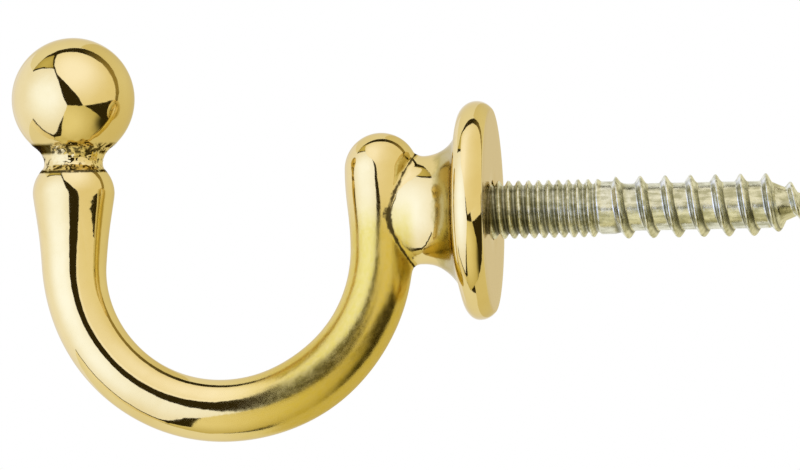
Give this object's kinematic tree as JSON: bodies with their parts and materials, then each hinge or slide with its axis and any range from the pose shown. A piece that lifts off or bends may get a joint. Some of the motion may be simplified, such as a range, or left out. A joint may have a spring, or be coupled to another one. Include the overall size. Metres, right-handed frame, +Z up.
{
  "type": "curtain holdback",
  "caption": "Polished brass curtain holdback: a J-shaped hook with a ball end on a round wall flange, fixed by a steel hanger screw.",
  "frame": {"origin": "centre of the flange's flat back, which lies on the wall", "axes": "+X into the wall along the screw, +Z up, +Y across the hook; the hook opens upwards"},
  "size_m": [0.0821, 0.022, 0.0411],
  "materials": {
    "polished_brass": "mirror polish, less even in the neck and round the root of the stalk",
    "screw_steel": "satin rolled steel with a thin yellowish plating"
  },
  "bodies": {
    "root": {"hook": "polished_brass", "hanger_screw": "screw_steel"}
  },
  "joints": []
}
